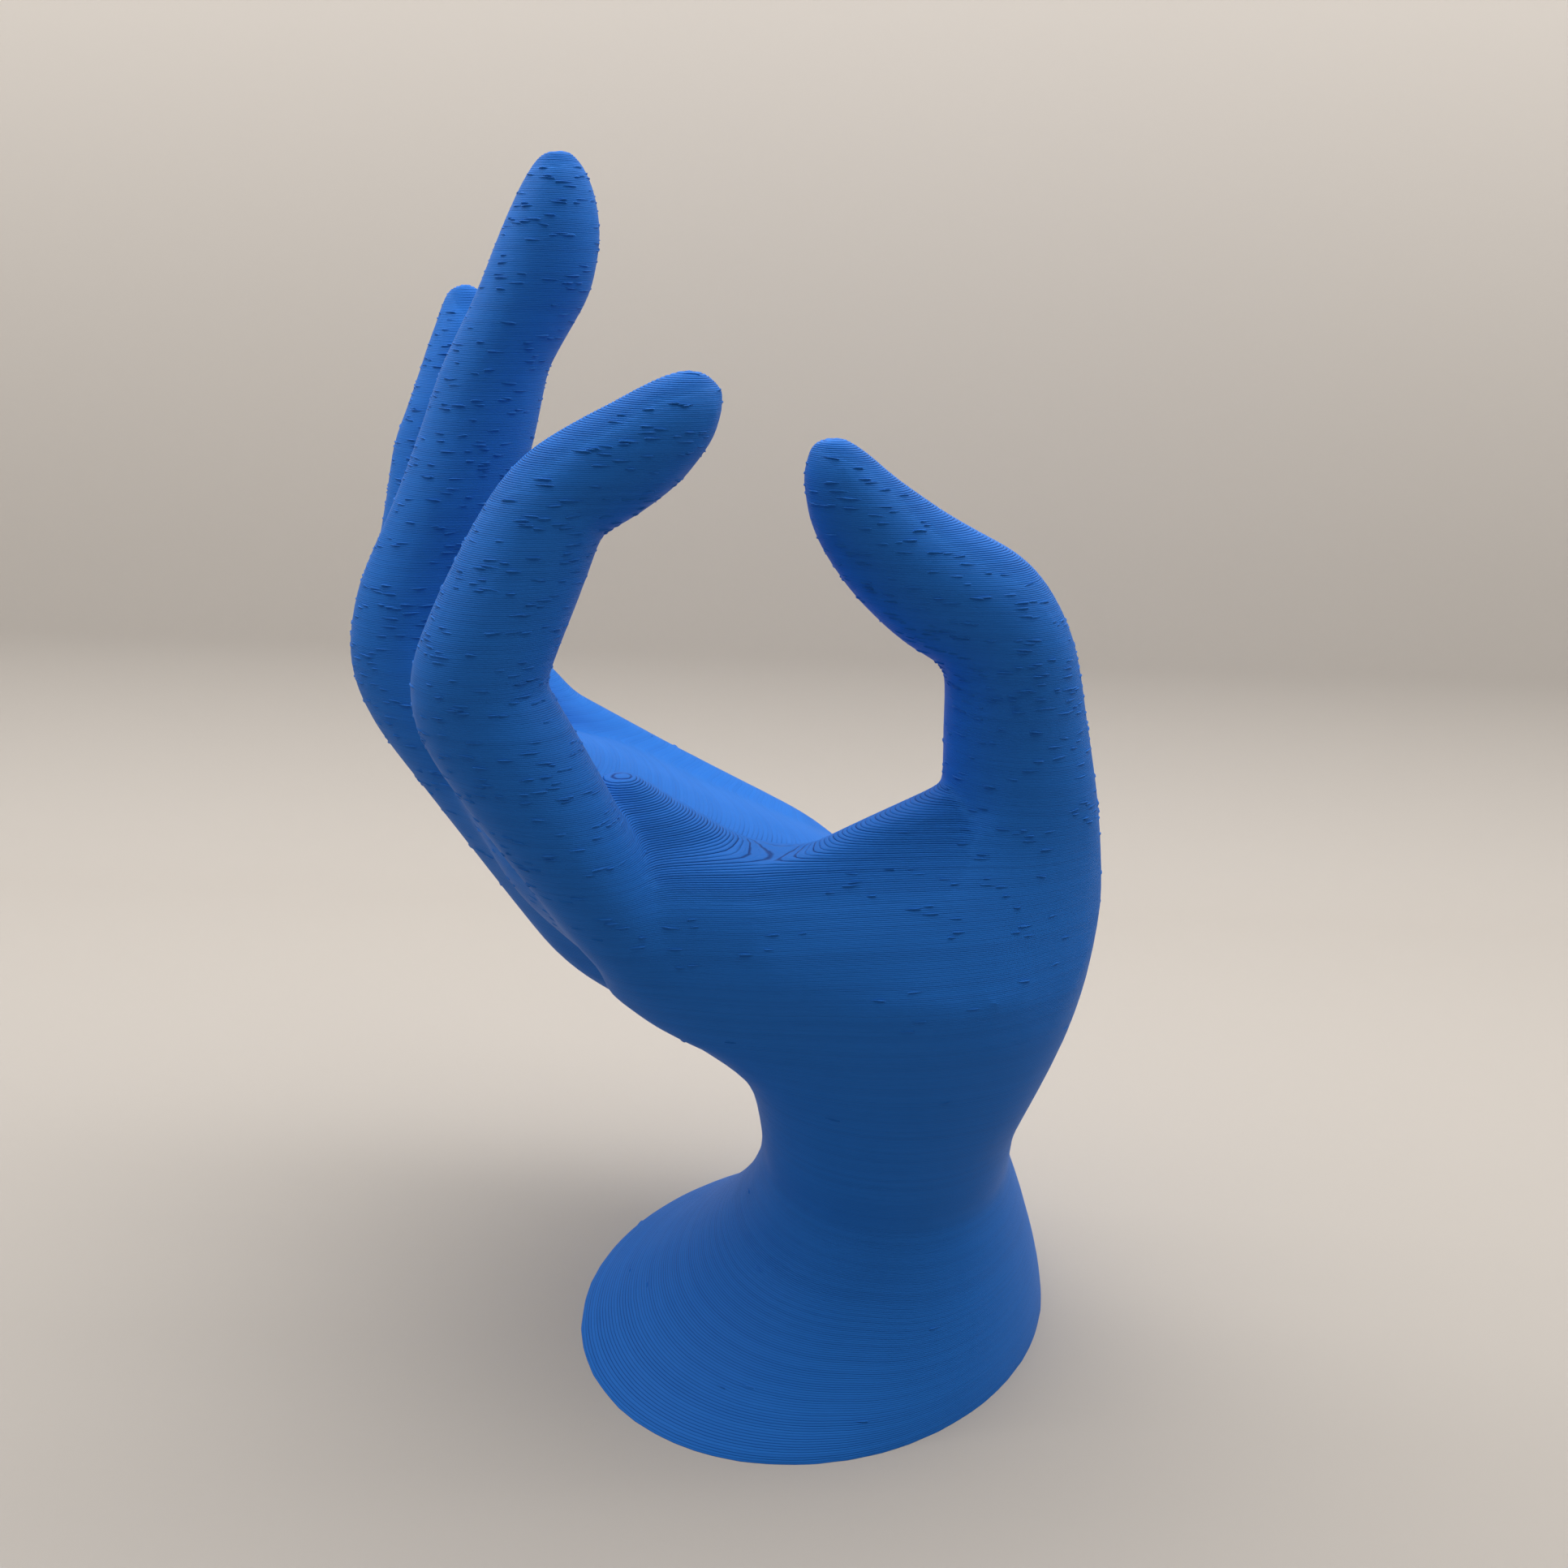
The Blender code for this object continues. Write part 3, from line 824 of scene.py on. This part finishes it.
def printed_layers_group():
    """Beads of the printed layers and the painted shade in the grooves between them.

    The level counts layers along the smooth skin, and a step's face takes e to each side of a whole number:
    half a layer on a plain wall, and half of the share "Step face" where real steps are cut. With q the
    share of the way up that face and c = 2q - 1, the bead stands out by sqrt(1 - c^2). With t the
    distance in layers from the foot of the face, the painted shade fades out towards |t| = 0.15. It is
    faint on walls and strong where the skin faces up, as the light from above darkens the grooves there.
    Each layer has its own random weight.
    """
    tree, given, result = new_group(
        "printed_layers",
        [
            ("Level", "NodeSocketFloat", 0.0),
            ("Steps", "NodeSocketFloat", 0.0),
            ("Upward", "NodeSocketFloat", 0.0),
            ("Step face", "NodeSocketFloat", 0.42),
        ],
        [("Height", "NodeSocketFloat"), ("Groove shade", "NodeSocketFloat"), ("Layer tone", "NodeSocketFloat")],
    )
    level = given.outputs["Level"]
    lost = math_node(tree, "MULTIPLY", math_node(tree, "SUBTRACT", 1.0, given.outputs["Step face"]), 0.5)
    half_face = math_node(tree, "SUBTRACT", 0.5, math_node(tree, "MULTIPLY", lost, given.outputs["Steps"]))
    number = math_node(tree, "FLOOR", math_node(tree, "ADD", level, 0.5))
    off = math_node(tree, "SUBTRACT", level, number)
    centred = math_node(tree, "DIVIDE", off, half_face)
    squared = math_node(tree, "MULTIPLY", centred, centred)
    bead = math_node(tree, "SQRT", math_node(tree, "SUBTRACT", 1.0, squared, clamp=True))
    white = tree.nodes.new("ShaderNodeTexWhiteNoise")
    white.noise_dimensions = "1D"
    tree.links.new(number, white.inputs["W"])
    tone = white.outputs["Value"]
    weight = math_node(tree, "ADD", math_node(tree, "MULTIPLY", tone, 1.0 - LEAST_WEIGHT), LEAST_WEIGHT)
    fuller = math_node(tree, "ADD", given.outputs["Steps"], 1.0)
    height = math_node(tree, "MULTIPLY", bead, math_node(tree, "MULTIPLY", weight, fuller))
    turned = math_node(tree, "FRACT", math_node(tree, "ADD", math_node(tree, "ADD", level, half_face), 0.5))
    apart = math_node(tree, "ABSOLUTE", math_node(tree, "SUBTRACT", turned, 0.5))
    left = math_node(tree, "SUBTRACT", GROOVE_SHADE_END, apart)
    dark = math_node(tree, "DIVIDE", left, GROOVE_SHADE_FADE, clamp=True)
    # Painted shade in the grooves: faint on walls, stronger where the skin faces up.
    on_top = math_node(tree, "MULTIPLY", given.outputs["Upward"], GROOVE_SHADE_ON_TOP)
    reach = math_node(tree, "ADD", on_top, GROOVE_SHADE_ON_WALL)
    groove_shade = math_node(tree, "MULTIPLY", dark, math_node(tree, "MULTIPLY", weight, reach))
    tree.links.new(height, result.inputs["Height"])
    tree.links.new(groove_shade, result.inputs["Groove shade"])
    tree.links.new(tone, result.inputs["Layer tone"])
    return tree


def attribute_node(tree, name):
    """Adds a node that reads one number of the mesh's points. Gives its output."""
    node = tree.nodes.new("ShaderNodeAttribute")
    node.attribute_name = name
    return node.outputs["Fac"]


def noise_node(tree, place, scale, detail):
    """Adds soft noise of a scale and a detail, laid out by place. Gives its strength."""
    node = tree.nodes.new("ShaderNodeTexNoise")
    node.inputs["Scale"].default_value = scale
    node.inputs["Detail"].default_value = detail
    tree.links.new(place, node.inputs["Vector"])
    return node.outputs["Fac"]


def colour_mix(tree, share, first, second):
    """Adds a mix from the first colour to the second by a share. Gives the mixed colour."""
    node = tree.nodes.new("ShaderNodeMix")
    node.data_type = "RGBA"
    node.inputs["A"].default_value = (*first, 1.0)
    node.inputs["B"].default_value = (*second, 1.0)
    tree.links.new(share, node.inputs["Factor"])
    return node.outputs["Result"]


def mix_to_output(tree, share, first, second, output):
    """Mixes two shaders by a share and links them to the tree's output node."""
    both = tree.nodes.new("ShaderNodeMixShader")
    for socket, link in zip(both.inputs, (share, first, second)):
        tree.links.new(link, socket)
    tree.links.new(both.outputs["Shader"], tree.nodes[output].inputs["Surface"])


def blue_plastic(name):
    """The matt blue plastic, with its layers and painted shade, for a mesh that carries level, steps,
    upward and shade.
    """
    scene = bpy.context.scene
    plastic, layers = scene.hand_plastic, scene.hand_layers
    material = bpy.data.materials.new(name)
    material.use_nodes = True
    tree = material.node_tree
    shader = tree.nodes["Principled BSDF"]
    place = tree.nodes.new("ShaderNodeTexCoord").outputs["Object"]
    lines = tree.nodes.new("ShaderNodeGroup")
    lines.node_tree = bpy.data.node_groups.get("printed_layers") or printed_layers_group()
    for value in ("level", "steps", "upward"):
        tree.links.new(attribute_node(tree, value), lines.inputs[value.capitalize()])
    lines.inputs["Step face"].default_value = layers.riser

    cloud = noise_node(tree, place, CLOUD_SCALE, 3.0)
    # Painted shade: the stronger of the shade in the grooves and the shadow along the lower edge of a seam
    # mark.
    dark = math_node(tree, "MAXIMUM", lines.outputs["Groove shade"], attribute_node(tree, "shade"))
    tone_share = math_node(tree, "MULTIPLY", lines.outputs["Layer tone"], TONE_SHARE)
    cloud_share = math_node(tree, "MULTIPLY", cloud, CLOUD_SHARE)
    # The share of the darker colour: the painted shade plus each layer's random tone and the cloudiness.
    share = math_node(tree, "ADD", dark, math_node(tree, "ADD", tone_share, cloud_share), clamp=True)
    colour = colour_mix(tree, share, plastic.colour, plastic.shade_and_tone_colour)
    tree.links.new(colour, shader.inputs["Base Color"])

    varying = math_node(tree, "MULTIPLY", cloud, ROUGHNESS_RANGE)
    rough = math_node(tree, "ADD", varying, plastic.roughness - 0.5 * ROUGHNESS_RANGE)
    tree.links.new(rough, shader.inputs["Roughness"])
    line_height = math_node(tree, "MULTIPLY", lines.outputs["Height"], layers.ridge_depth)
    grain_height = math_node(tree, "MULTIPLY", noise_node(tree, place, GRAIN_SCALE, 2.0), GRAIN_DEPTH)
    bump = tree.nodes.new("ShaderNodeBump")
    bump.inputs["Distance"].default_value = 1.0
    tree.links.new(math_node(tree, "ADD", line_height, grain_height), bump.inputs["Height"])
    tree.links.new(bump.outputs["Normal"], shader.inputs["Normal"])
    shader.inputs["Specular IOR Level"].default_value = PLASTIC_SHINE
    shader.inputs["Sheen Weight"].default_value = SHEEN
    shader.inputs["Sheen Roughness"].default_value = SHEEN_ROUGHNESS
    return material


class HANDSTAND_OT_skin(Operator):
    """Makes the hand's smooth skin with the steps of its printed layers"""

    bl_idname = "handstand.make_skin"
    bl_label = "Make Skin"

    def execute(self, context):
        settings = context.scene.hand_layers
        points, triangles = smooth_skin()
        points, triangles, values = layered_surface(points, triangles, settings)
        points, triangles = close_underside(points, triangles)
        values = {name: np.append(numbers, 0.0) for name, numbers in values.items()}
        values["shade"] = np.zeros(len(points))
        skin = new_mesh_object("hand_skin", keep_in_box(points), triangles)
        add_point_values(skin, values)
        skin.data.set_sharp_from_angle(angle=CRISP_EDGE)
        skin.data.materials.append(blue_plastic("hand_plastic"))
        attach(skin, "root")
        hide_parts(NODE)
        print("hand_skin triangles", len(triangles))
        return {"FINISHED"}


class HANDSTAND_OT_marks(Operator):
    """Scatters the small seam marks over the fingers, the thumb and the upper palm"""

    bl_idname = "handstand.make_marks"
    bl_label = "Make Seam Marks"

    def execute(self, context):
        layer = context.scene.hand_layers.height
        points, triangles = smooth_skin()
        points, triangles, shade = seam_mark_mesh(points, triangles, context.scene.hand_marks)
        marks = new_mesh_object("seam_marks", keep_in_box(points), triangles)
        plain = np.zeros(len(points))
        values = {
            "level": points[:, 2] / layer - 0.5,
            "steps": plain + MARK_STEPS,
            "upward": plain,
            "shade": shade,
        }
        add_point_values(marks, values)
        marks.data.materials.append(blue_plastic("mark_plastic"))
        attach(marks, "root")
        print("seam_marks triangles", len(triangles))
        return {"FINISHED"}


def sweep_mesh():
    """A paper sweep: a level floor, a quarter circle and a wall, the same profile carried along the width.

    The profile goes from the front of the floor to the bend at distance d behind the stand, turns up
    through an arc of radius r, (d + r sin t, r - r cos t), and rises straight to the top.
    """
    on_floor, on_arc, on_wall, on_width = SWEEP_POINTS
    bend, radius = SWEEP_BEND, SWEEP_RADIUS
    turn = np.linspace(0.0, 0.5 * math.pi, on_arc)
    floor = np.column_stack([np.linspace(SWEEP_FRONT, bend, on_floor, endpoint=False), np.zeros(on_floor)])
    arc = np.column_stack([bend + radius * np.sin(turn), radius - radius * np.cos(turn)])
    rise = np.linspace(radius, SWEEP_TOP, on_wall + 1)[1:]
    wall = np.column_stack([np.full(on_wall, bend + radius), rise])
    profile = np.vstack([floor, arc, wall])
    across = np.linspace(-SWEEP_HALF_WIDTH, SWEEP_HALF_WIDTH, on_width)
    x, index = np.meshgrid(across, np.arange(len(profile)), indexing="ij")
    points = np.column_stack([x.ravel(), profile[index.ravel(), 0], profile[index.ravel(), 1]])
    return points, grid_triangles(len(across), len(profile))


def paper_material(colour):
    """Plain warm paper with a faint cloudiness, clear from behind so that it never hides the stand."""
    material = bpy.data.materials.new("stage_paper")
    material.use_nodes = True
    tree = material.node_tree
    shader = tree.nodes["Principled BSDF"]
    place = tree.nodes.new("ShaderNodeTexCoord").outputs["Object"]
    cloud = noise_node(tree, place, PAPER_CLOUD_SCALE, 2.0)
    mixed = colour_mix(tree, cloud, colour, [PAPER_DARKER * part for part in colour])
    tree.links.new(mixed, shader.inputs["Base Color"])
    shader.inputs["Roughness"].default_value = PAPER_ROUGHNESS
    shader.inputs["Specular IOR Level"].default_value = PAPER_SHINE
    behind = tree.nodes.new("ShaderNodeNewGeometry").outputs["Backfacing"]
    clear = tree.nodes.new("ShaderNodeBsdfTransparent").outputs["BSDF"]
    mix_to_output(tree, behind, shader.outputs["BSDF"], clear, "Material Output")
    return material


def add_area_light(name, layout, power):
    """A warm white rectangular light that the camera doesn't see: its place, what it faces and its size."""
    place, target, size = layout
    light = bpy.data.lights.new(name, "AREA")
    light.shape = "RECTANGLE"
    light.size, light.size_y = size
    light.energy = power
    light.color = WARM_WHITE
    obj = bpy.data.objects.new(name, light)
    obj.location = place
    obj.rotation_euler = (Vector(target) - Vector(place)).to_track_quat("-Z", "Y").to_euler()
    obj.visible_camera = False
    bpy.context.scene.collection.objects.link(obj)


def add_tent_light(strength):
    """Even warm light from all around, as inside a light tent, whose cloth looks as pale as the paper."""
    world = bpy.data.worlds.new("light_tent")
    world.use_nodes = True
    tree = world.node_tree
    light = tree.nodes["Background"]
    light.inputs["Color"].default_value = (*WARM_WHITE, 1.0)
    light.inputs["Strength"].default_value = strength
    cloth = tree.nodes.new("ShaderNodeBackground")
    cloth.inputs["Color"].default_value = (*TENT_CLOTH, 1.0)
    seen = tree.nodes.new("ShaderNodeLightPath").outputs["Is Camera Ray"]
    mix_to_output(tree, seen, light.outputs["Background"], cloth.outputs["Background"], "World Output")
    bpy.context.scene.world = world


def add_camera():
    """The camera at the photograph's place, tilted down and rolled as it was."""
    data = bpy.data.cameras.new("photo_camera")
    data.sensor_width = SENSOR_WIDTH
    data.lens = CAMERA_LENS
    data.clip_start = 0.01
    camera = bpy.data.objects.new("photo_camera", data)
    camera.matrix_world = (
        Matrix.Translation(Vector(CAMERA_PLACE) * MM)
        @ Matrix.Rotation(0.5 * math.pi - CAMERA_TILT, 4, "X")
        @ Matrix.Rotation(CAMERA_ROLL, 4, "Z")
    )
    bpy.context.scene.collection.objects.link(camera)
    bpy.context.scene.camera = camera


class HANDSTAND_OT_stage(Operator):
    """Makes the pale paper sweep, the soft lights and the camera"""

    bl_idname = "handstand.make_stage"
    bl_label = "Make Stage"

    def execute(self, context):
        settings = context.scene.hand_stage
        points, triangles = sweep_mesh()
        sweep = new_mesh_object("stage_sweep", points, triangles)
        sweep.data.materials.append(paper_material(settings.paper_colour))
        add_area_light("overhead", OVERHEAD_LIGHT, settings.top_power)
        add_area_light("front_fill", FRONT_LIGHT, settings.front_power)
        add_area_light("wall_wash", WALL_LIGHT, settings.wall_power)
        add_tent_light(settings.tent_strength)
        add_camera()
        context.scene.view_settings.view_transform = "Standard"
        return {"FINISHED"}


class HANDSTAND_PT_sidebar(Panel):
    """Lists the pieces of the hand stand and their settings"""

    bl_label = "Hand Stand"
    bl_idname = "HANDSTAND_PT_sidebar"
    bl_space_type = "VIEW_3D"
    bl_region_type = "UI"
    bl_category = "Hand Stand"

    def draw(self, context):
        scene = context.scene
        for operator, settings in (
            (HANDSTAND_OT_skin, (scene.hand_layers, scene.hand_plastic)),
            (HANDSTAND_OT_marks, (scene.hand_marks,)),
            (HANDSTAND_OT_stage, (scene.hand_stage,)),
        ):
            box = self.layout.box()
            for group in settings:
                for name in group.__annotations__:
                    box.prop(group, name)
            box.operator(operator.bl_idname)


CLASSES = (
    LayerSettings,
    MarkSettings,
    PlasticSettings,
    StageSettings,
    HANDSTAND_OT_skin,
    HANDSTAND_OT_marks,
    HANDSTAND_OT_stage,
    HANDSTAND_PT_sidebar,
)


def register():
    """Registers the classes and gives the scene its settings."""
    for cls in CLASSES:
        bpy.utils.register_class(cls)
    bpy.types.Scene.hand_layers = PointerProperty(type=LayerSettings)
    bpy.types.Scene.hand_marks = PointerProperty(type=MarkSettings)
    bpy.types.Scene.hand_plastic = PointerProperty(type=PlasticSettings)
    bpy.types.Scene.hand_stage = PointerProperty(type=StageSettings)


def unregister():
    """Takes the settings and the classes away again."""
    del bpy.types.Scene.hand_layers
    del bpy.types.Scene.hand_marks
    del bpy.types.Scene.hand_plastic
    del bpy.types.Scene.hand_stage
    for cls in reversed(CLASSES):
        bpy.utils.unregister_class(cls)


def main():
    """Makes every piece and the stage."""
    register()
    bpy.ops.handstand.make_skin()
    bpy.ops.handstand.make_marks()
    bpy.ops.handstand.make_stage()


if __name__ == "__main__":
    main()
